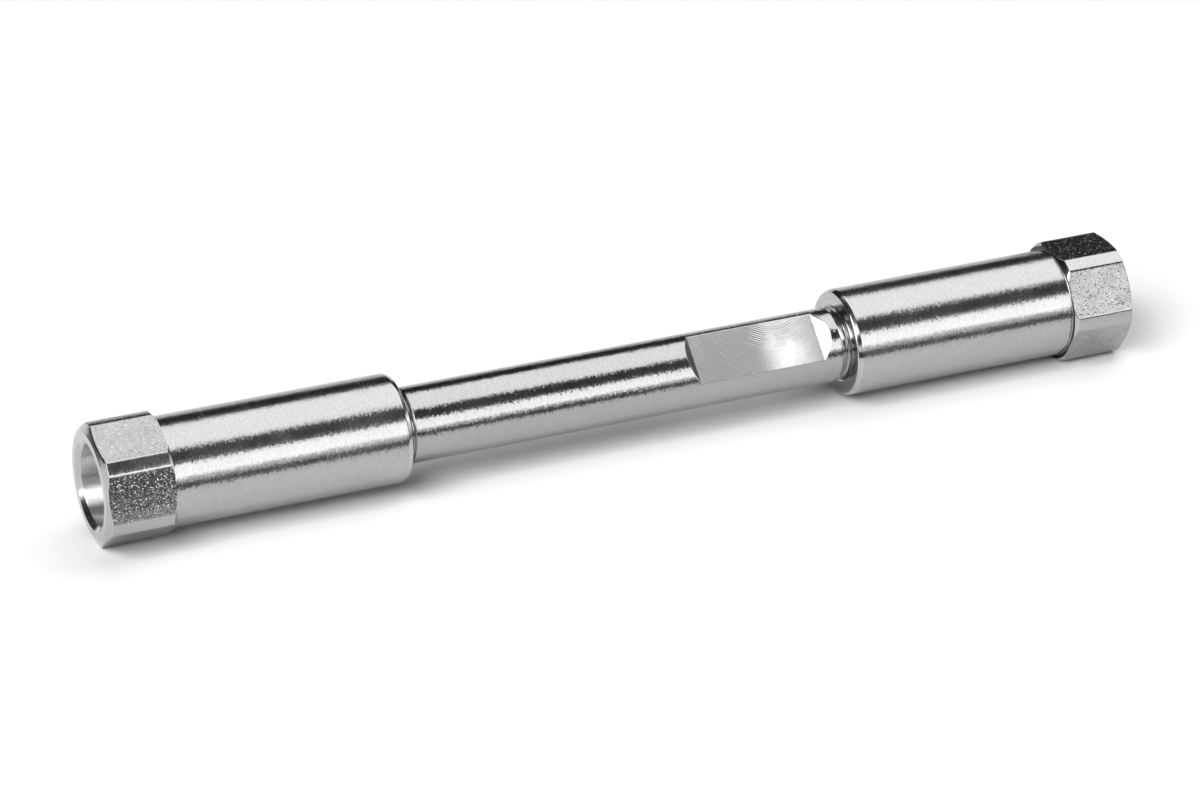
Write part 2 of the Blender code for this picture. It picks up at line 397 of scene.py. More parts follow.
class Sheet:
    """Places and joins the nodes of one tree."""

    def __init__(self, tree: bpy.types.NodeTree) -> None:
        """Takes a tree and empties it.

        Args:
            tree: node tree of a material, a world or a group.
        """
        self.tree = tree
        tree.nodes.clear()

    def add(self, kind: str, **settings: object) -> Node:
        """Adds one node.

        Args:
            kind: Blender's name of the node's type.
            settings: attributes to set on it.

        Returns:
            The node.
        """
        node = self.tree.nodes.new(kind)
        for key, value in settings.items():
            setattr(node, key, value)
        return node

    def feed(self, target: Socket, value: object) -> None:
        """Joins an input to another node's output, or sets it.

        Args:
            target: the input.
            value: output socket, number or numbers.
        """
        if isinstance(value, Socket):
            self.tree.links.new(value, target)
        else:
            target.default_value = value

    def feed_all(self, node: Node, **values: object) -> Node:
        """Joins or sets inputs of a node.

        Args:
            node: the node.
            values: value of each input, with the spaces of its name as underscores.

        Returns:
            The node.
        """
        for key, value in values.items():
            self.feed(node.inputs[key.replace("_", " ")], value)
        return node

    def math(self, operation: str, first: object, second: object = 0.0) -> Socket:
        """Adds a Math node.

        Args:
            operation: Blender's name of the operation.
            first: socket or number.
            second: socket or number.

        Returns:
            The result's socket.
        """
        node = self.add("ShaderNodeMath", operation=operation)
        self.feed(node.inputs[0], first)
        self.feed(node.inputs[1], second)
        return node.outputs[0]

    def vector(self, operation: str, first: object, second: object = None) -> Socket:
        """Adds a Vector Math node.

        Args:
            operation: Blender's name of the operation.
            first: socket or three numbers.
            second: socket, three numbers, the factor of SCALE or nothing.

        Returns:
            The result's socket.
        """
        node = self.add("ShaderNodeVectorMath", operation=operation)
        self.feed(node.inputs[0], first)
        if second is not None:
            self.feed(node.inputs["Scale" if operation == "SCALE" else 1], second)
        return node.outputs["Value" if operation in ("LENGTH", "DOT_PRODUCT") else "Vector"]

    def ramp(self, value: Socket, low: float, high: float, to_low: float, to_high: float) -> Socket:
        """Maps a value smoothly from one range to another, held at its ends.

        Args:
            value: socket to map.
            low: value that gives to_low.
            high: value that gives to_high.
            to_low: result at low.
            to_high: result at high.

        Returns:
            The result's socket.
        """
        node = self.add("ShaderNodeMapRange", interpolation_type="SMOOTHSTEP")
        self.feed_all(node, Value=value, From_Min=low, From_Max=high, To_Min=to_low, To_Max=to_high)
        return node.outputs[0]

    def spread(self, value: Socket, middle: float, share: float) -> Socket:
        """Turns a noise value into a number that varies about its middle.

        Args:
            value: socket of the noise.
            middle: the middle number.
            share: how far the result goes from the middle, as a share of it.

        Returns:
            The result's socket.
        """
        return self.ramp(value, 0.3, 0.7, middle * (1 - share), middle * (1 + share))

    def parts(self, vector: Socket) -> bpy.types.NodeOutputs:
        """Adds a Separate XYZ node and gives its outputs."""
        return self.feed_all(self.add("ShaderNodeSeparateXYZ"), Vector=vector).outputs

    def noise(
        self, place: Socket, scale: object, detail: float = 2.0, roughness: float = 0.5
    ) -> bpy.types.NodeOutputs:
        """Adds a Noise Texture node.

        Args:
            place: where the noise is read.
            scale: socket or number.
            detail: octaves above the first.
            roughness: strength of each octave, as a share of the one before.

        Returns:
            Its outputs.
        """
        node = self.add("ShaderNodeTexNoise")
        self.feed_all(node, Vector=place, Scale=scale, Detail=detail, Roughness=roughness)
        return node.outputs

    def place(self) -> Socket:
        """Object coordinates in millimetres, counted from the column's axis.

        Returns:
            The vector's socket.
        """
        coordinates = self.add("ShaderNodeTexCoord").outputs["Object"]
        centred = self.vector("SUBTRACT", coordinates, (0, 0, AXIS_HEIGHT))
        return self.vector("SCALE", centred, 1 / MM)

    def group(self, tree: bpy.types.NodeTree, **values: object) -> bpy.types.NodeOutputs:
        """Adds a node group.

        Args:
            tree: the group.
            values: value of each input, with the spaces of its name as underscores.

        Returns:
            Its outputs.
        """
        return self.feed_all(self.add("ShaderNodeGroup", node_tree=tree), **values).outputs

    def principled(self, **values: object) -> Node:
        """Adds the material's shader and joins it to the output.

        Args:
            values: value of each input, with the spaces of its name as underscores.

        Returns:
            The shader's node.
        """
        shader = self.feed_all(self.add("ShaderNodeBsdfPrincipled"), **values)
        self.feed_all(self.add("ShaderNodeOutputMaterial"), Surface=shader.outputs[0])
        return shader

    def normal(self) -> Socket:
        """The surface's own normal."""
        return self.add("ShaderNodeNewGeometry").outputs["Normal"]

    def colour_between(self, mask: Socket, low: Triple, high: Triple) -> Socket:
        """Mixes two colours.

        Args:
            mask: share of the second colour.
            low: first colour.
            high: second colour.

        Returns:
            The colour's socket.
        """
        first, second, result = 6, 7, 2
        mix = self.add("ShaderNodeMix", data_type="RGBA")
        self.feed(mix.inputs["Factor"], mask)
        self.feed(mix.inputs[first], (*low, 1.0))
        self.feed(mix.inputs[second], (*high, 1.0))
        return mix.outputs[result]


class GroupSheet(Sheet):
    """Sheet of a new shader node group."""

    def __init__(self, name: str, inputs: dict[str, object], outputs: Sequence[str]) -> None:
        """Starts the group, whose output Normal is a vector and any other a number.

        Args:
            name: name of the group.
            inputs: default of each input, a number or three numbers.
            outputs: names of the outputs.
        """
        super().__init__(bpy.data.node_groups.new(name, "ShaderNodeTree"))
        for key, value in inputs.items():
            kind = "NodeSocketFloat" if isinstance(value, float) else "NodeSocketVector"
            socket = self.tree.interface.new_socket(key, in_out="INPUT", socket_type=kind)
            socket.default_value = value
        for key in outputs:
            kind = "NodeSocketVector" if key == "Normal" else "NodeSocketFloat"
            self.tree.interface.new_socket(key, in_out="OUTPUT", socket_type=kind)
        self.given = self.add("NodeGroupInput").outputs
        self.result = self.add("NodeGroupOutput").inputs

    def lean(self, chance: Socket, strength: Socket) -> None:
        """Leans the given normal by a random colour, as the output Normal.

        Args:
            chance: colour whose mean is 0.5.
            strength: size of the lean, as one number or one for each direction.
        """
        centred = self.vector("SUBTRACT", chance, (0.5, 0.5, 0.5))
        tilt = self.vector("MULTIPLY", centred, strength)
        leaned = self.vector("ADD", self.given["Normal"], tilt)
        self.feed(self.result["Normal"], self.vector("NORMALIZE", leaned))

    def stretched_place(self) -> Socket:
        """Place in millimetres, multiplied by the input Stretch."""
        return self.vector("MULTIPLY", self.place(), self.given["Stretch"])


@cache
def lay_group() -> bpy.types.NodeTree:
    """Group for the lay that a lathe tool leaves, which runs round the axis.

    A noise is read at (x a, r a, y b, z b), so it changes quickly along the axis
    and outwards and slowly round the axis. Its colour leans the normal.

    Returns:
        The group, with outputs Normal and Streak.
    """
    sheet = GroupSheet(
        "lathe_lay",
        {"Normal": (0.0, 0.0, 1.0), "Rings a mm": 8.0, "Streaks a mm": 0.8,
         "Axial lean": 0.2, "Round lean": 0.05},
        ("Normal", "Streak"),
    )
    place = sheet.place()
    x, y, z = sheet.parts(place)
    radius = sheet.vector("LENGTH", sheet.vector("MULTIPLY", place, (0.0, 1.0, 1.0)))
    rings, streaks = sheet.given["Rings a mm"], sheet.given["Streaks a mm"]
    spot = sheet.feed_all(
        sheet.add("ShaderNodeCombineXYZ"), X=sheet.math("MULTIPLY", x, rings),
        Y=sheet.math("MULTIPLY", radius, rings), Z=sheet.math("MULTIPLY", y, streaks),
    )
    noise = sheet.feed_all(
        sheet.add("ShaderNodeTexNoise", noise_dimensions="4D"), Vector=spot.outputs[0],
        W=sheet.math("MULTIPLY", z, streaks), Scale=1.0, Detail=2.0, Roughness=0.6,
    )
    lean = sheet.feed_all(
        sheet.add("ShaderNodeCombineXYZ"), X=sheet.given["Axial lean"],
        Y=sheet.given["Round lean"], Z=sheet.given["Round lean"],
    )
    sheet.lean(noise.outputs["Color"], lean.outputs[0])
    sheet.feed(sheet.result["Streak"], noise.outputs["Fac"])
    return sheet.tree


@cache
def grain_group() -> bpy.types.NodeTree:
    """Group for a fine mottled grain, which leans the normal at random.

    Returns:
        The group, with outputs Normal and Grain.
    """
    sheet = GroupSheet(
        "metal_grain",
        {"Normal": (0.0, 0.0, 1.0), "Grains a mm": 5.0, "Lean": 0.2, "Stretch": (1.0, 1.0, 1.0)},
        ("Normal", "Grain"),
    )
    noise = sheet.noise(sheet.stretched_place(), sheet.given["Grains a mm"], roughness=0.65)
    sheet.lean(noise["Color"], sheet.given["Lean"])
    sheet.feed(sheet.result["Grain"], noise["Fac"])
    return sheet.tree


@cache
def facet_group() -> bpy.types.NodeTree:
    """Group for crystal facets, each with a lean and a tone of its own.

    The facets whose chance is over "Lively from" lean with the whole strength and
    sparkle, and the others lean with the calm share of it.

    Returns:
        The group, with outputs Normal and Tone.
    """
    sheet = GroupSheet(
        "crystal_facets",
        {"Normal": (0.0, 0.0, 1.0), "Facets a mm": 6.0, "Lean": 0.2, "Calm": 0.25,
         "Lively from": 0.78, "Stretch": (1.0, 1.0, 1.0)},
        ("Normal", "Tone"),
    )
    cells = sheet.feed_all(
        sheet.add("ShaderNodeTexVoronoi"), Vector=sheet.stretched_place(),
        Scale=sheet.given["Facets a mm"],
    )
    chance = sheet.feed_all(sheet.add("ShaderNodeSeparateColor"), Color=cells.outputs["Color"])
    tone = chance.outputs["Blue"]
    over = sheet.math("SUBTRACT", tone, sheet.given["Lively from"])
    share = sheet.math("MAXIMUM", sheet.ramp(over, 0.0, 0.05, 0.0, 1.0), sheet.given["Calm"])
    sheet.lean(cells.outputs["Color"], sheet.math("MULTIPLY", share, sheet.given["Lean"]))
    sheet.feed(sheet.result["Tone"], tone)
    return sheet.tree


@cache
def handling_group() -> bpy.types.NodeTree:
    """Group for what handling leaves on bright metal: a cloudy tone.

    Returns:
        The group, with output Cloud, about 0 to 1 over some millimetres.
    """
    sheet = GroupSheet("handling", {"Clouds a mm": 0.2}, ("Cloud",))
    noise = sheet.noise(sheet.place(), sheet.given["Clouds a mm"], detail=3.0)
    sheet.feed(sheet.result["Cloud"], sheet.ramp(noise["Fac"], 0.3, 0.7, 0.0, 1.0))
    return sheet.tree


# Finishes


class Finish:
    """A finish that a piece takes, with its own material made once."""

    name: str

    @cache
    def material(self) -> bpy.types.Material:
        """Gives the finish's material, and builds it the first time.

        Returns:
            The material.
        """
        material = bpy.data.materials.new(self.name)
        material.use_nodes = True
        self.dress(Sheet(material.node_tree))
        return material

    def dress(self, sheet: Sheet) -> None:
        """Places the finish's nodes.

        Args:
            sheet: sheet of the material.
        """
        raise NotImplementedError


def tinted(tone: float, share: float, blue_share: float) -> Triple:
    """Grey that is a share of a tone, with its blue a share of its own."""
    return (tone * share, tone * share, tone * blue_share)


@dataclass(frozen=True)
class TurnedSteel(Finish):
    """Steel as a lathe leaves it, with a fine lay round the axis.

    Attributes:
        name: name of the material.
        tone: mean colour.
        roughness: mean roughness.
        directional: spread of the gloss across the lay.
        rings: marks a millimetre along the axis.
        streaks: changes a millimetre round the axis.
        axial_lean: lean of the marks along the axis.
        round_lean: lean of the marks round the axis.
        sparkle: lean of the sparkling facets.
    """

    name: str
    tone: float
    roughness: float
    directional: float = 0.0
    rings: float = 6.0
    streaks: float = 1.0
    axial_lean: float = 0.06
    round_lean: float = 0.03
    sparkle: float = 0.02

    def dress(self, sheet: Sheet) -> None:
        """Places the lay, the sparkle and the cloudy tone.

        Args:
            sheet: sheet of the material.
        """
        shader = sheet.principled(Metallic=1.0, Anisotropic=self.directional)
        if self.directional > 0:
            tangent = sheet.add("ShaderNodeTangent", direction_type="UV_MAP", uv_map=LAY_MAP)
            sheet.feed_all(shader, Tangent=tangent.outputs[0])
        lay = sheet.group(
            lay_group(), Normal=sheet.normal(), Rings_a_mm=self.rings, Streaks_a_mm=self.streaks,
            Axial_lean=self.axial_lean, Round_lean=self.round_lean,
        )
        facet = sheet.group(
            facet_group(), Normal=lay["Normal"], Facets_a_mm=7.0, Lean=self.sparkle,
            Calm=0.45, Stretch=(1.0, 0.7, 0.7),
        )
        cloud = sheet.group(handling_group(), Clouds_a_mm=0.25)["Cloud"]
        cloudy = sheet.ramp(cloud, 0.0, 1.0, -0.015, 0.015)
        mask = sheet.ramp(lay["Streak"], 0.32, 0.68, 0.0, 1.0)
        sheet.feed_all(
            shader,
            Normal=facet["Normal"],
            Roughness=sheet.math("ADD", sheet.spread(lay["Streak"], self.roughness, 0.15), cloudy),
            Base_Color=sheet.colour_between(
                mask, tinted(self.tone, 0.92, 0.935), tinted(self.tone, 1.08, 1.085)
            ),
        )


@dataclass(frozen=True)
class BarSteel(Finish):
    """Steel flats of drawn bar, grainy, with a few scratches along the bar.

    Attributes:
        name: name of the material.
        tone: mean colour.
        roughness: mean roughness.
        facets: facets a millimetre.
        lean: lean of the facets.
        scratches: scratches a millimetre across the flat.
    """

    name: str
    tone: float
    roughness: float
    facets: float
    lean: float
    scratches: float

    def dress(self, sheet: Sheet) -> None:
        """Places the facets, the scratches and the tones.

        Args:
            sheet: sheet of the material.
        """
        grain = sheet.group(
            grain_group(), Normal=sheet.normal(), Grains_a_mm=self.facets * 0.5,
            Lean=self.lean * 0.15, Stretch=(0.7, 1.0, 1.0),
        )
        facet = sheet.group(
            facet_group(), Normal=grain["Normal"], Facets_a_mm=self.facets, Lean=self.lean,
            Calm=0.25, Lively_from=0.87, Stretch=(0.8, 1.0, 1.0),
        )
        scratch = sheet.group(
            grain_group(), Normal=facet["Normal"], Grains_a_mm=self.scratches, Lean=0.05,
            Stretch=(0.03, 1.0, 1.0),
        )
        line = sheet.ramp(scratch["Grain"], 0.66, 0.72, 0.0, 1.0)
        bright = sheet.ramp(facet["Tone"], 0.82, 0.92, 0.0, 0.75)
        cloud = sheet.group(handling_group(), Clouds_a_mm=0.35)["Cloud"]
        mask = sheet.math("MAXIMUM", bright, sheet.math("MULTIPLY", line, 0.8))
        mask = sheet.math("ADD", mask, sheet.math("MULTIPLY", cloud, 0.22))
        low, high = tinted(self.tone, 0.84, 0.85), tinted(self.tone, 1.45, 1.46)
        sheet.principled(
            Metallic=1.0,
            Normal=scratch["Normal"],
            Roughness=sheet.spread(grain["Grain"], self.roughness, 0.15),
            Base_Color=sheet.colour_between(mask, low, high),
        )


@dataclass(frozen=True)
class MilledSteel(Finish):
    """Steel flat cut by an end mill, with the round marks that its teeth leave.

    Places on the flat are given along the column and up the flat, in millimetres.

    Attributes:
        name: name of the material.
        tone: mean colour.
        roughness: mean roughness.
        facing: angle of the flat round the axis.
        centre: place of the marks' centre.
        feed: distance from mark to mark, in millimetres.
        coarse_feed: distance of the coarser marks, in feeds.
        coarse_depth: depth of the coarser marks, as a share of the fine ones'.
        lean: lean of the marks' flanks.
        wobble: unevenness of the marks, in millimetres.
        directional: how much more the gloss spreads across the marks than along them.
        dish: greatest lean of the shallow dish that the cutter left about the centre.
        spot: place of the painted highlight, a bright patch painted into the colour where the lamp's
            highlight falls.
        highlight_reach: reach of that painted highlight.
        highlight_share: share of the bright tone in its middle.
    """

    name: str
    tone: float
    roughness: float
    facing: float
    centre: tuple[float, float] = (21.3, 7.0)
    feed: float = 0.29
    coarse_feed: float = 2.7
    coarse_depth: float = 0.15
    lean: float = 0.20
    wobble: float = 0.25
    directional: float = 0.6
    dish: float = 0.16
    # Painted highlight: the flat's colour is lightened round this spot.
    spot: tuple[float, float] = (21.8, -1.3)
    highlight_reach: float = 3.6
    highlight_share: float = 0.60

    def upward(self) -> Vector:
        """Unit vector up the flat."""
        angle = math.radians(self.facing)
        return Vector((0.0, math.sin(angle), math.cos(angle)))

    def in_flat(self, sheet: Sheet, point: tuple[float, float]) -> Socket:
        """Vector in the flat's plane from a point of it to the shaded place.

        Args:
            sheet: sheet of the material.
            point: place along the column and up the flat.

        Returns:
            The vector's socket.
        """
        up = self.upward()
        outward = (0.0, -up.z, up.y)
        start = (point[0], point[1] * up.y, point[1] * up.z)
        away = sheet.vector("SUBTRACT", sheet.place(), start)
        height = sheet.vector("DOT_PRODUCT", away, outward)
        return sheet.vector("SUBTRACT", away, sheet.vector("SCALE", outward, height))

    def marks(self, sheet: Sheet, cloud: Socket, radial: Socket) -> tuple[Socket, Socket]:
        """Circles about one centre at equal distances, deeper in the flat's upper part.

        Args:
            sheet: sheet of the material.
            cloud: cloudy value that makes them uneven.
            radial: vector from the marks' centre.

        Returns:
            The vector by which the marks lean the normal, and the wave of the fine marks.
        """
        wobble = sheet.math("MULTIPLY", sheet.noise(sheet.place(), 0.5)["Fac"], self.wobble)
        distance = sheet.math("ADD", sheet.vector("LENGTH", radial), wobble)
        turns = 2 * math.pi / self.feed
        wave = sheet.math("SINE", sheet.math("MULTIPLY", distance, turns))
        coarse = sheet.math("SINE", sheet.math("MULTIPLY", distance, turns / self.coarse_feed))
        both = sheet.math("ADD", wave, sheet.math("MULTIPLY", coarse, self.coarse_depth))
        height = sheet.vector("DOT_PRODUCT", sheet.place(), self.upward())
        upper = sheet.ramp(height, -1.5, 1.5, 0.25, 1.0)
        depth = sheet.math("MULTIPLY", sheet.ramp(cloud, 0.2, 0.9, 0.1, 1.0), upper)
        strength = sheet.math("MULTIPLY", both, sheet.math("MULTIPLY", depth, self.lean))
        return sheet.vector("SCALE", sheet.vector("NORMALIZE", radial), strength), wave

    def dished(self, sheet: Sheet) -> Socket:
        """Vector by which the shallow dish leans the normal.

        Args:
            sheet: sheet of the material.

        Returns:
            The vector's socket.
        """
        middle = self.centre[0]
        along = sheet.parts(sheet.place())["X"]
        rise = sheet.ramp(along, middle - 4.0, middle - 0.4, 0.0, self.dish)
        fall = sheet.ramp(along, middle + 0.8, middle + 4.5, 1.0, 0.3)
        return sheet.vector("SCALE", self.upward(), sheet.math("MULTIPLY", rise, fall))

    def dress(self, sheet: Sheet) -> None:
        """Places the marks, the dish, a fine grain and the painted highlight, a bright spot painted
        into the colour.

        Args:
            sheet: sheet of the material.
        """
        radial = self.in_flat(sheet, self.centre)
        cloud = sheet.group(handling_group(), Clouds_a_mm=0.45)["Cloud"]
        marks, wave = self.marks(sheet, cloud, radial)
        leaned = sheet.vector("ADD", sheet.normal(), marks)
        leaned = sheet.vector("ADD", leaned, self.dished(sheet))
        grain = sheet.group(
            grain_group(), Normal=sheet.vector("NORMALIZE", leaned), Grains_a_mm=6.0, Lean=0.10
        )
        uneven = sheet.math("MULTIPLY", sheet.math("SUBTRACT", cloud, 0.5), 1.5)
        # Painted highlight: the colour is lightened towards the spot, standing in for the gloss of the
        # lamp there.
        to_highlight = sheet.math("ADD", sheet.vector("LENGTH", self.in_flat(sheet, self.spot)), uneven)
        painted_highlight = sheet.ramp(to_highlight, 0.0, self.highlight_reach, self.highlight_share, 0.0)
        mask = sheet.math("ADD", sheet.ramp(wave, -1.0, 1.0, 0.0, 0.15), painted_highlight)
        low, high = tinted(self.tone, 0.95, 0.96), tinted(self.tone, 1.60, 1.605)
        sheet.principled(
            Metallic=1.0,
            Anisotropic=self.directional,
            Normal=grain["Normal"],
            Tangent=sheet.vector("NORMALIZE", radial),
            Roughness=sheet.spread(grain["Grain"], self.roughness, 0.1),
            Base_Color=sheet.colour_between(mask, low, high),
        )


@dataclass(frozen=True)
class GranularSolid(Finish):
    """Matt material of fused or packed grains.

    Attributes:
        name: name of the material.
        dark: colour between the grains.
        light: colour of the grains.
        metallic: 1 for metal grains.
        roughness: mean roughness.
        grain: grains a millimetre.
        lean: lean of the grains.
    """

    name: str
    dark: Triple
    light: Triple
    metallic: float
    roughness: float
    grain: float
    lean: float

    def dress(self, sheet: Sheet) -> None:
        """Places the grain and its colours.

        Args:
            sheet: sheet of the material.
        """
        grain = sheet.group(
            grain_group(), Normal=sheet.normal(), Grains_a_mm=self.grain, Lean=self.lean
        )
        mask = sheet.ramp(grain["Grain"], 0.35, 0.65, 0.0, 1.0)
        rough = sheet.ramp(mask, 0.0, 1.0, min(1.0, self.roughness * 1.1), self.roughness * 0.9)
        sheet.principled(
            Metallic=self.metallic, Normal=grain["Normal"], Roughness=rough,
            Base_Color=sheet.colour_between(mask, self.dark, self.light),
        )


@dataclass(frozen=True)
class FloorPaper(Finish):
    """White paper with a faint unevenness of tone."""

    name: str
    tone: float

    def dress(self, sheet: Sheet) -> None:
        """Places the paper's white.

        Args:
            sheet: sheet of the material.
        """
        noise = sheet.noise(sheet.add("ShaderNodeTexCoord").outputs["Object"], 9.0)
        low, high = tinted(self.tone, 0.995, 0.995), tinted(self.tone, 1.005, 1.005)
        colour = sheet.colour_between(noise["Fac"], low, high)
        sheet.principled(Roughness=0.9, Specular_IOR_Level=0.1, Base_Color=colour)


@dataclass(frozen=True)
class CardBlack(Finish):
    """Matt black card."""

    name: str

    def dress(self, sheet: Sheet) -> None:
        """Places a matt black.

        Args:
            sheet: sheet of the material.
        """
        sheet.principled(Base_Color=(0.05, 0.05, 0.05, 1.0), Roughness=0.9)


FLAT_ANGLE = 47.5

SLEEVE_STEEL = TurnedSteel(
    "sleeve_steel", tone=0.41, roughness=0.23, directional=0.6, rings=10.0, streaks=3.0,
    axial_lean=0.26, round_lean=0.085, sparkle=0.09,
)
TUBE_STEEL = TurnedSteel(
    "tube_steel", tone=0.37, roughness=0.20, directional=0.6, rings=10.0, streaks=3.0,
    axial_lean=0.26, round_lean=0.085, sparkle=0.13,
)
FACED_STEEL = TurnedSteel(
    "faced_steel", tone=0.47, roughness=0.16, directional=0.4, streaks=0.5, round_lean=0.04,
    sparkle=0.03,
)
# Bore steel: its tone is much lighter than the sleeve's steel of the same fitting, a painted
# brightening that stands in for light reaching into the bores.
BORED_STEEL = TurnedSteel(
    "bored_steel", tone=0.74, roughness=0.40, directional=0.95, rings=3.0, streaks=0.2,
    axial_lean=0.50, round_lean=0.04, sparkle=0.03,
)
# Painted shade: a near-black steel for the head's shoulder face, which darkens the joint of sleeve and
# head.
SHADE_PAINTED_STEEL = TurnedSteel(
    "shade_painted_steel", tone=0.07, roughness=0.45, rings=4.0, axial_lean=0.05, round_lean=0.05,
    sparkle=0.03,
)
THREAD_STEEL = TurnedSteel("thread_steel", tone=0.48, roughness=0.18, directional=0.3, streaks=0.6)
RAMP_STEEL = TurnedSteel("ramp_steel", tone=0.50, roughness=0.10, rings=3.0, axial_lean=0.03)
HEX_STEEL = BarSteel(
    "hex_bar_steel", tone=0.33, roughness=0.19, facets=9.5, lean=0.45, scratches=10.0
)
WRENCH_STEEL = MilledSteel("wrench_flat_steel", tone=0.49, roughness=0.30, facing=FLAT_ANGLE)
FRIT_STEEL = GranularSolid(
    "frit_steel", dark=(0.16, 0.155, 0.15), light=(0.46, 0.45, 0.43), metallic=1.0,
    roughness=0.55, grain=9.0, lean=0.9,
)
SEAL_POLYMER = GranularSolid(
    "seal_polymer", dark=(0.56, 0.46, 0.32), light=(0.64, 0.53, 0.38), metallic=0.0,
    roughness=0.46, grain=3.0, lean=0.08,
)
BED_SILICA = GranularSolid(
    "bed_silica", dark=(0.80, 0.79, 0.76), light=(0.90, 0.89, 0.87), metallic=0.0,
    roughness=0.9, grain=12.0, lean=0.35,
)


# The column


@dataclass
class ColumnTube:
    """Thick-walled tube with two wrench flats and a threaded neck at each end."""

    length: float = 75.0 * MM
    diameter: float = 9.525 * MM
    bore: float = 4.6 * MM
    bore_chamfer: float = 0.1 * MM
    lead_in: float = 0.45 * MM
    shoulder: float = 28.95 * MM
    edge: float = 0.18 * MM
    root_diameter: float = 8.08 * MM
    crest_diameter: float = 8.92 * MM
    crest_width: float = 0.094 * MM
    pitch: float = 0.75 * MM
    outlet_crest: float = 29.83 * MM
    inlet_crest: float = -29.77 * MM
    flat_width: float = 7.0 * MM
    flat_length: float = 17.1 * MM
    flat_centre: float = 17.75 * MM
    flat_angle: float = FLAT_ANGLE
    crease: float = 0.03 * MM

    def angles(self) -> np.ndarray:
        """Angles of the grid's columns, close together near the flats' edges.

        Returns:
            Increasing angles over one turn.
        """
        edge = math.degrees(math.acos(self.flat_width / self.diameter))
        inner = np.linspace(-edge + 1.4, edge - 1.4, 75)
        near = np.array([-0.9, -0.4, -0.12, 0.12, 0.4, 0.9])
        outer = np.linspace(edge + 2.2, 88.0, 12)
        half = np.concatenate([-outer[::-1], -edge - near[::-1], inner, edge + near, outer, [90.0]])
        half = np.unique(np.round(half, 6))
        return self.flat_angle + np.concatenate([half, half + 180.0])

    def flat_reach(self, along: np.ndarray) -> np.ndarray:
        """Distance of the flats' surface from the axis.

        h(x) = w/2 over the flat, and beyond it h grows by one for one up a ramp.

        Args:
            along: distance along the axis.

        Returns:
            The distance h.
        """
        past = np.maximum(np.abs(along - self.flat_centre) - self.flat_length / 2, 0.0)
        return self.flat_width / 2 + past

    def flat_steps(self) -> np.ndarray:
        """Distances along the axis of the outside's rows, close together on the ramps.

        Returns:
            Increasing distances.
        """
        foot, margin = self.flat_length / 2, 0.04 * MM
        rise = (self.diameter - self.flat_width) / 2
        return np.concatenate(
            [
                np.linspace(-27.0 * MM, self.flat_centre - foot - rise - 0.3 * MM, 8),
                self.flat_centre - foot - np.linspace(rise + margin, -margin, 27),
                self.flat_centre + np.linspace(-foot + 0.5 * MM, foot - 0.5 * MM, 9),
                self.flat_centre + foot + np.linspace(-margin, rise + margin, 27),
            ]
        )

    def outline(self) -> Profile:
        """Outline of the tube's wall, from the inlet end round to the bore.

        Returns:
            The closed outline.
        """
        end, outer = self.length / 2, self.diameter / 2
        root, bore = self.root_diameter / 2, self.bore / 2
        neck = [
            (end, bore + self.bore_chamfer, 0.02 * MM, Cut.FACED),
            (end, root - self.lead_in, 0.04 * MM, Cut.FACED),
            (end - self.lead_in, root, 0.04 * MM, Cut.THREADED),
            (self.shoulder + 0.02 * MM, root, 0.03 * MM, Cut.FACED),
            (self.shoulder, outer - self.edge, 0.03 * MM, Cut.FACED),
            (self.shoulder - self.edge, outer, 0.05 * MM, Cut.TURNED),
        ]
        cuts_back = [corner[3] for corner in neck[-2::-1]] + [Cut.FACED]
        corners = [(-along, radius, edge, cut) for along, radius, edge, cut in neck]
        corners += [(float(along), outer, 0.0, Cut.TURNED) for along in self.flat_steps()]
        corners += [(*corner[:3], cut) for corner, cut in zip(neck[::-1], cuts_back)]
        corners += [
            (end - self.bore_chamfer, bore, 0.02 * MM, Cut.BORED),
            (-end + self.bore_chamfer, bore, 0.02 * MM, Cut.FACED),
        ]
        return round_corners(corners)

    def crest_at(self, end: End) -> float:
        """Distance along the axis of a crest of one end's thread at angle 0."""
        return self.outlet_crest if end is End.OUTLET else self.inlet_crest

    def build(self) -> bpy.types.Object:
        """Builds the tube with its threads.

        Returns:
            The piece.
        """
        along, radius, cuts = self.outline().columns()
        angles = self.angles()
        off = np.radians(angles - self.flat_angle)
        flats = self.flat_reach(along) / np.maximum(np.abs(np.cos(off)), 0.05)
        outside = radius > self.root_diameter / 2 + 0.02 * MM
        shaped = np.where(outside, soft_min(radius, flats, self.crease), radius)
        milled = (flats < radius) & outside
        cell = milled & (np.roll(milled, -1, axis=1) | np.roll(milled, -1, axis=0))
        beside = np.abs(0.5 * (along + np.roll(along, -1, axis=0)) - self.flat_centre)
        flat_cuts = np.where(beside > self.flat_length / 2, Cut.RAMPED.value, Cut.FLAT.value)
        skin = Skin("column_tube_steel")
        skin.add_grid(around(along, shaped, angles), np.where(cell, flat_cuts, cuts), True)
        for end in End:
            side = end.value
            ridge = ThreadRidge(
                (side * (self.shoulder - 0.05 * MM), side * (self.length / 2 - 0.3 * MM)),
                self.crest_at(end), self.pitch,
                self.root_diameter / 2, self.crest_diameter / 2, self.crest_width,
            )
            skin.add_grid(ridge.grid(), Cut.THREADED.value, False)
        piece = skin.make(
            [TUBE_STEEL, WRENCH_STEEL, FACED_STEEL, BORED_STEEL, THREAD_STEEL, RAMP_STEEL]
        )
        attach(piece, "column")
        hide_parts("column_tube")
        return piece


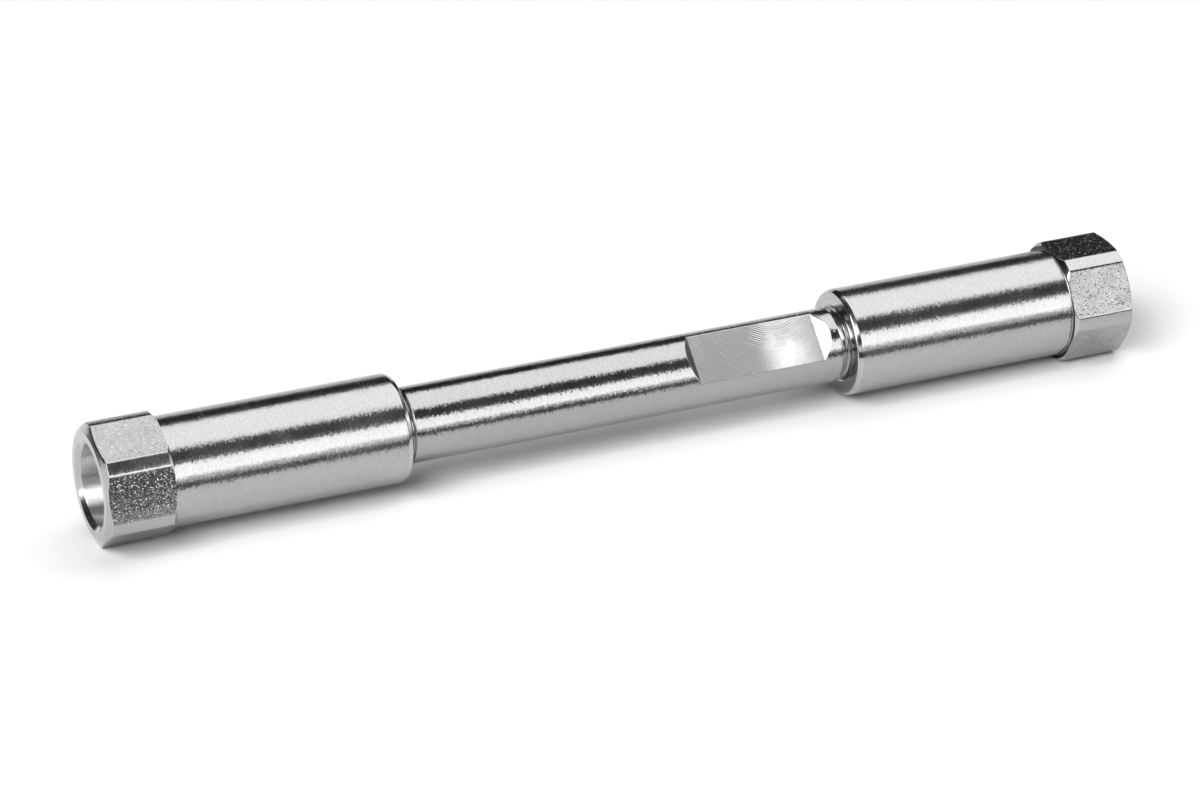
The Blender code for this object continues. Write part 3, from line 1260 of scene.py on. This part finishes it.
@dataclass
class EndFitting:
    """One-piece end fitting: a sleeve with a hexagonal head, bored for tube and tubing."""

    end: End
    hex_angle: float
    start: float = 30.0 * MM
    length: float = 39.1 * MM
    sleeve_diameter: float = 13.67 * MM
    sleeve_length: float = 30.45 * MM
    sleeve_edge: float = 0.62 * MM
    edge_drop: float = 0.21 * MM
    face_edge: float = 0.10 * MM
    head_diameter: float = 15.57 * MM
    hex_width: float = 14.2875 * MM
    shoulder_bevel: float = 0.40 * MM
    face_diameter: float = 13.1 * MM
    end_chamfer: float = 0.55 * MM
    crease: float = 0.07 * MM
    broken_edge: float = 0.03 * MM
    lead_in: float = 0.4 * MM
    mouth: float = 0.65 * MM
    mouth_length: float = 0.55 * MM
    counterbore_diameter: float = 10.0 * MM
    counterbore_depth: float = 13.7 * MM
    groove_diameter: float = 9.06 * MM
    ridge_diameter: float = 8.24 * MM
    ridge_width: float = 0.20 * MM
    seat_depth: float = 9.3 * MM
    recess_depth: float = 1.65 * MM
    recess_diameter: float = 7.7 * MM
    relief_length: float = 0.8 * MM
    relief_diameter: float = 9.31 * MM
    spreader_diameter: float = 4.4 * MM
    spreader_depth: float = 0.25 * MM
    passage_diameter: float = 0.5 * MM
    web: float = 1.8 * MM
    pilot_diameter: float = 1.65 * MM
    port_major: float = 4.826 * MM
    port_minor: float = 3.97 * MM
    port_pitch: float = 0.79375 * MM
    port_ridge_width: float = 0.12 * MM
    port_depth: float = 8.0 * MM
    port_chamfer: float = 0.3 * MM
    cone_half_angle: float = 20.0

    @property
    def bottom(self) -> float:
        """Distance of the counterbore's bottom from the sleeve's free end."""
        return self.length - self.counterbore_depth

    @property
    def relief_start(self) -> float:
        """Distance of the thread relief's near wall from the sleeve's free end."""
        return self.seat_depth - self.recess_depth - self.relief_length

    def angles(self) -> np.ndarray:
        """Angles of the grid's columns, close together near the hexagon's edges.

        Returns:
            Increasing angles over one turn.
        """
        edge = math.degrees(math.acos(self.hex_width / self.head_diameter))
        inner = np.linspace(-edge + 2.8, edge - 2.8, 15)
        near = np.array([-1.5, -0.9, -0.3, 0.3, 0.9, 1.5])
        sixth = np.concatenate([[-30.0, -27.4], -edge - near[::-1], inner, edge + near, [27.4]])
        return self.hex_angle + 90.0 + (sixth[None, :] + 60.0 * np.arange(6)[:, None]).reshape(-1)

    def outside_corners(self) -> list[Corner]:
        """Corners of the fitting's outside, from its free end to its end face.

        The bevel and the chamfer of the head have rows of their own, because the
        hexagon cuts them.

        Returns:
            The corners, with distances counted from the sleeve's free end.
        """
        head, sleeve = self.head_diameter / 2, self.sleeve_diameter / 2
        bevel, chamfer, top = self.shoulder_bevel, self.end_chamfer, self.length
        drop = head - self.face_diameter / 2
        start = self.sleeve_length
        return [
            (0.0, self.groove_diameter / 2 + self.lead_in, 0.04 * MM, Cut.FACED),
            (0.0, sleeve - self.edge_drop - self.face_edge, 0.04 * MM, Cut.FACED),
            (self.face_edge, sleeve - self.edge_drop, 0.04 * MM, Cut.FACED),
            (self.sleeve_edge, sleeve, 0.10 * MM, Cut.TURNED),
            (start - 0.25 * MM, sleeve, 0.0, Cut.TURNED),
            # The shoulder face takes the painted shade.
            (start, sleeve + 0.02 * MM, 0.12 * MM, Cut.SHADE_PAINTED),
            (start, self.hex_width / 2 - 0.06 * MM, 0.0, Cut.SHADE_PAINTED),
            *(
                (start + u * bevel, head - (1 - u) * bevel, 0.0, Cut.FACED)
                for u in np.linspace(0.0, 0.94, 9)
            ),
            (start + bevel, head, self.broken_edge, Cut.TURNED),
            (top - chamfer, head, self.broken_edge, Cut.FACED),
            *(
                (top - (1 - u) * chamfer, head - u * drop, 0.0, Cut.FACED)
                for u in np.linspace(0.08, 0.94, 11)
            ),
            (top, self.face_diameter / 2, self.broken_edge, Cut.FACED),
        ]

    def outline(self) -> Profile:
        """Outline of the fitting's section, round its outside and back through its bores.

        Returns:
            The closed outline, with distances counted from the sleeve's free end.
        """
        top, bottom, seat, fine = self.length, self.bottom, self.seat_depth, self.broken_edge
        cone_top = bottom - self.port_depth
        counterbore, groove = self.counterbore_diameter / 2, self.groove_diameter / 2
        port, minor, pilot = self.port_major / 2, self.port_minor / 2, self.pilot_diameter / 2
        cone = (minor - pilot) / math.tan(math.radians(self.cone_half_angle))
        recess, relief = self.recess_diameter / 2, self.relief_diameter / 2
        corners = self.outside_corners()
        corners += [
            (top, counterbore + self.mouth, fine, Cut.FACED),
            (top - self.mouth_length, counterbore, 0.05 * MM, Cut.BORED),
            (bottom, counterbore, 0.15 * MM, Cut.FACED),
            (bottom, port + self.port_chamfer, fine, Cut.FACED),
            (bottom - self.port_chamfer, port, fine, Cut.THREADED),
            (cone_top + self.port_chamfer, port, fine, Cut.THREADED),
            (cone_top, minor, fine, Cut.BORED),
            (cone_top - cone, pilot, fine, Cut.BORED),
            (seat + self.web, pilot, fine, Cut.BORED),
            (seat + self.web, self.passage_diameter / 2, fine, Cut.BORED),
            (seat + self.spreader_depth, self.passage_diameter / 2, fine, Cut.BORED),
            (seat, self.spreader_diameter / 2, fine, Cut.FACED),
            (seat, recess, fine, Cut.BORED),
            (seat - self.recess_depth, recess, fine, Cut.FACED),
            (seat - self.recess_depth, relief, fine, Cut.BORED),
            (self.relief_start, relief, fine, Cut.FACED),
            (self.relief_start, groove, fine, Cut.THREADED),
            (self.lead_in, groove, fine, Cut.THREADED),
        ]
        return round_corners(corners)

    def ridges(self) -> list[ThreadRidge]:
        """Threads inside the fitting.

        The thread for the neck stands half a pitch beside the neck's own ridge.

        Returns:
            The thread for the neck and the thread for the tubing fitting.
        """
        side, tube = self.end.value, ColumnTube()
        neck = (0.05 * MM, self.relief_start + 0.1 * MM)
        port = (self.bottom - 0.05 * MM, self.bottom - self.port_depth + 0.6 * MM)
        neck, port = (tuple(side * (self.start + depth) for depth in pair) for pair in (neck, port))
        return [
            ThreadRidge(neck, tube.crest_at(self.end) + tube.pitch / 2, tube.pitch,
                        self.groove_diameter / 2, self.ridge_diameter / 2, self.ridge_width),
            ThreadRidge(port, min(port), self.port_pitch,
                        self.port_major / 2, self.port_minor / 2, self.port_ridge_width),
        ]

    def build(self) -> bpy.types.Object:
        """Builds the fitting with its threads.

        Returns:
            The piece.
        """
        depth, radius, cuts = self.outline().columns()
        angles = self.angles()
        off = (angles - self.hex_angle - 90.0 + 30.0) % 60.0 - 30.0
        flats = self.hex_width / 2 / np.cos(np.radians(off))
        outside = (depth >= self.sleeve_length - 0.001 * MM) & (radius > self.sleeve_diameter / 2)
        shaped = np.where(outside, soft_min(radius, flats, self.crease), radius)
        milled = (flats < radius) & outside
        cell = milled & np.roll(milled, -1, axis=1) & np.roll(milled, -1, axis=0)
        along = self.end.value * (self.start + depth)
        skin = Skin(f"{self.end.label}_fitting_steel")
        skin.add_grid(around(along, shaped, angles), np.where(cell, Cut.FLAT.value, cuts), True)
        for ridge in self.ridges():
            skin.add_grid(ridge.grid(), Cut.THREADED.value, False)
        piece = skin.make(
            [SLEEVE_STEEL, HEX_STEEL, FACED_STEEL, BORED_STEEL, THREAD_STEEL, RAMP_STEEL, SHADE_PAINTED_STEEL]
        )
        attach(piece, f"{self.end.label}_fitting")
        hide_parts(f"{self.end.label}_end_fitting")
        return piece


def turned_piece(
    name: str, corners: Sequence[Corner], closed: bool, columns: int, finish: Finish
) -> bpy.types.Object:
    """Builds a plain turned piece of one finish.

    Args:
        name: name of the piece.
        corners: corners of its outline, as for round_corners.
        closed: whether the outline returns to its first corner.
        columns: number of the grid's columns.
        finish: its finish.

    Returns:
        The piece.
    """
    along, radius, _ = round_corners(corners).columns()
    skin = Skin(name)
    skin.add_grid(around(along, radius, np.linspace(0.0, 360.0, columns, endpoint=False)), 0, closed)
    return skin.make([finish])


def disc_corners(near: float, far: float, rings: np.ndarray, reach: float, edge: float) -> list[Corner]:
    """Outline of a disc, with rows on its faces.

    Args:
        near: distance of its first face along the axis.
        far: distance of its second face.
        rings: radii of the rows on each face, from the middle outwards.
        reach: its radius.
        edge: size of its broken edges.

    Returns:
        The corners of the outline.
    """
    face = [(near, float(ring), 0.0, Cut.TURNED) for ring in rings]
    back = [(far, float(ring), 0.0, Cut.TURNED) for ring in rings[::-1]]
    return [*face, (near, reach, edge, Cut.TURNED), (far, reach, edge, Cut.TURNED), *back]


@dataclass
class FritSet:
    """Porous disc in its seal ring, between the tube's end and the fitting."""

    end: End
    disc_diameter: float = 4.94 * MM
    ring_inner: float = 5.0 * MM
    ring_outer: float = 7.6 * MM
    edge: float = 0.1 * MM
    inner_edge: float = 0.03 * MM
    columns: int = 96

    def build(self) -> list[bpy.types.Object]:
        """Builds the disc and the ring.

        Returns:
            The two pieces.
        """
        label = self.end.label
        low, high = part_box(f"{self.end.label}_frit")
        near, far = low[0], high[0]
        disc = self.disc_diameter / 2
        corners = disc_corners(near, far, np.linspace(0.0, disc * 0.9, 7), disc, self.edge)
        frit = turned_piece(f"{label}_frit_disc", corners, False, self.columns, FRIT_STEEL)
        inner, outer = self.ring_inner / 2, self.ring_outer / 2
        corners = [
            (near, inner, self.inner_edge, Cut.TURNED), (near, outer, self.edge, Cut.TURNED),
            (far, outer, self.edge, Cut.TURNED), (far, inner, self.inner_edge, Cut.TURNED),
        ]
        ring = turned_piece(f"{label}_seal", corners, True, self.columns, SEAL_POLYMER)
        body = f"{label}_frit_set"
        for piece, node, slot in (
            (frit, f"{label}_frit", "sintered_steel"),
            (ring, f"{label}_seal_ring", "seal_polymer"),
        ):
            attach(piece, body)
            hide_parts(node)
        return [frit, ring]


@dataclass
class PackedBed:
    """Bed of powder that fills the bore."""

    diameter: float = 4.54 * MM
    edge: float = 0.05 * MM
    columns: int = 64

    def build(self) -> bpy.types.Object:
        """Builds the bed.

        Returns:
            The piece.
        """
        low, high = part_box("packed_bed")
        reach = self.diameter / 2
        corners = disc_corners(low[0], high[0], np.linspace(0.0, reach * 0.92, 6), reach, self.edge)
        piece = turned_piece("silica_bed", corners, False, self.columns, BED_SILICA)
        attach(piece, "column")
        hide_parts("packed_bed")
        return piece


# The studio


@dataclass(frozen=True)
class SoftBox:
    """Rectangular lamp, whose first side runs along the column or across it.

    Attributes:
        name: name of the lamp.
        centre: middle of its face.
        aim: direction that it shines in.
        size: its first and second side.
        radiance: brightness of its face, where 1 is white.
        on_floor: whether it lights matt surfaces as well as glossy ones.
    """

    name: str
    centre: Triple
    aim: Triple
    size: tuple[float, float]
    radiance: float
    on_floor: bool

    def hang(self) -> None:
        """Hangs the lamp. A lamp of power P and area A shows a radiance of P / (pi A)."""
        data = bpy.data.lights.new(self.name, "AREA")
        data.shape = "RECTANGLE"
        data.size, data.size_y = self.size
        data.energy = self.radiance * math.pi * self.size[0] * self.size[1]
        lamp = bpy.data.objects.new(self.name, data)
        bpy.context.scene.collection.objects.link(lamp)
        back = -Vector(self.aim).normalized()
        side = Vector((1.0, 0.0, 0.0)) if abs(back.x) < 0.5 else Vector((0.0, 1.0, 0.0))
        first = (side - back * side.dot(back)).normalized()
        turn = Matrix((first, back.cross(first), back)).transposed().to_4x4()
        lamp.matrix_world = Matrix.Translation(self.centre) @ turn
        lamp.visible_diffuse = self.on_floor


@dataclass(frozen=True)
class Flag:
    """Black card on the floor, which shows in the steel only and gives it a dark edge.

    Attributes:
        name: name of the card.
        middle: x and y of its middle.
        turn: angle of its width from the column's axis.
        width: its width.
        top: height of its upper edge.
        foot: height of its lower edge.
    """

    name: str
    middle: tuple[float, float]
    turn: float
    width: float
    top: float
    foot: float = 0.001

    def stand(self) -> None:
        """Stands the card on the floor."""
        along = np.array([-self.width / 2, self.width / 2])
        x = self.middle[0] + along * math.cos(math.radians(self.turn))
        y = self.middle[1] + along * math.sin(math.radians(self.turn))
        z = np.array([self.foot, self.top])
        skin = Skin(self.name)
        points = np.stack(np.broadcast_arrays(x[None, :], y[None, :], z[:, None]), axis=-1)
        skin.add_grid(points, 0, False, False)
        card = skin.make([CardBlack("card_black")])
        for view in ("visible_camera", "visible_diffuse", "visible_shadow", "visible_transmission"):
            setattr(card, view, False)


SOFT_BOXES = (
    SoftBox("overhead_box", (0.725, 0.303, 1.2), (0.0, 0.0, -1.0), (1.55, 1.48), 1.93, True),
    SoftBox("front_box", (0.75, -1.2, 0.5625), (0.0, 1.0, 0.0), (1.6, 0.715), 2.38, False),
    SoftBox("side_box", (-1.3, -0.38, 0.48), (1.0, 0.0, -0.2), (0.9, 0.75), 2.1, False),
    SoftBox("key_box", (-0.95, -0.72, 1.15), (0.57, 0.43, -0.70), (1.3, 0.8), 8.9, True),
    SoftBox("right_box", (1.4, -0.3, 0.42), (-1.0, 0.0, 0.0), (0.6, 0.5), 2.6, False),
)
FLAGS = (
    Flag("front_card", (0.07, -0.0365), turn=0.0, width=0.46, top=0.0088),
    Flag("left_card", (-0.15, 0.085), turn=30.0, width=0.22, top=0.05),
    Flag("right_card", (0.098, 0.045), turn=118.0, width=0.045, top=0.02),
)


@dataclass
class Studio:
    """Pale floor that rises into a low wall, the cards, the soft boxes and the camera."""

    floor_radius: float = 1.3
    wall_radius: float = 0.3
    wall_height: float = 0.36
    rest_slope: float = 0.00493
    rest_at: float = -0.06085
    floor_tone: float = 0.92
    room_colour: Triple = (0.02, 0.02, 0.021)
    camera_place: Triple = (-0.2183, -0.4980, 0.2765)
    azimuth: float = -23.426
    elevation: float = 26.476
    roll: float = 0.022
    lens: float = 145.98
    sensor: float = 36.0

    def floor(self) -> None:
        """Builds the floor.

        z(r) is 0 up to the floor's radius, then a quarter circle and a plain wall. The
        whole is sloped by a quarter of a degree, because the column rests on a corner
        of one head and on a flat of the other.
        """
        arc = np.radians(np.linspace(0.0, 90.0, 13)[1:])
        flat = np.array([0.0, 0.15, 0.4, 0.8, self.floor_radius])
        curve = self.floor_radius + self.wall_radius * np.sin(arc)
        radius = np.concatenate([flat, curve, curve[-1:]])[:, None]
        rise = self.wall_radius * (1 - np.cos(arc))
        height = np.concatenate([0 * flat, rise, [self.wall_height]])[:, None]
        phi = np.radians(np.linspace(0.0, 360.0, 96, endpoint=False))
        x, y = radius * np.cos(phi), radius * np.sin(phi)
        z = height + self.rest_slope * (x - self.rest_at)
        skin = Skin("studio_floor")
        skin.add_grid(np.stack([x, y, z], axis=-1), 0, False)
        floor = skin.make([FloorPaper("floor_paper", self.floor_tone)])

    def room(self) -> None:
        """Sets the dim room around the soft boxes."""
        world = bpy.data.worlds.new("room")
        bpy.context.scene.world = world
        world.use_nodes = True
        sheet = Sheet(world.node_tree)
        background = sheet.feed_all(sheet.add("ShaderNodeBackground"), Color=(*self.room_colour, 1.0))
        sheet.feed_all(sheet.add("ShaderNodeOutputWorld"), Surface=background.outputs[0])

    def camera(self) -> None:
        """Sets up the camera at the photograph's angle.

        The camera's back direction is (sin a cos e, -cos a cos e, sin e).
        """
        azimuth, elevation = math.radians(self.azimuth), math.radians(self.elevation)
        level = math.cos(elevation)
        back = Vector((math.sin(azimuth) * level, -math.cos(azimuth) * level, math.sin(elevation)))
        right = Vector((math.cos(azimuth), math.sin(azimuth), 0.0))
        turn = Matrix((right, back.cross(right), back)).transposed()
        turn = turn @ Matrix.Rotation(math.radians(self.roll), 3, "Z")
        data = bpy.data.cameras.new("camera")
        data.lens, data.sensor_width = self.lens, self.sensor
        data.clip_start, data.clip_end = 0.01, 20.0
        camera = bpy.data.objects.new("camera", data)
        bpy.context.scene.collection.objects.link(camera)
        camera.matrix_world = Matrix.Translation(self.camera_place) @ turn.to_4x4()
        bpy.context.scene.camera = camera

    def build(self) -> None:
        """Builds the whole studio."""
        self.floor()
        for flag in FLAGS:
            flag.stand()
        for box in SOFT_BOXES:
            box.hang()
        self.room()
        self.camera()
        bpy.context.scene.view_settings.view_transform = "Standard"


def main() -> None:
    """Builds the column and the studio, and reports each piece."""
    logging.basicConfig(level=logging.INFO, format="%(name)s: %(message)s")
    pieces = [
        ColumnTube().build(),
        EndFitting(End.INLET, hex_angle=-21.1).build(),
        EndFitting(End.OUTLET, hex_angle=0.0).build(),
        *FritSet(End.INLET).build(),
        *FritSet(End.OUTLET).build(),
        PackedBed().build(),
    ]
    for piece in pieces:
        LOG.info("%s: %d faces", piece.name, len(piece.data.polygons))
    Studio().build()


if __name__ == "__main__":
    main()
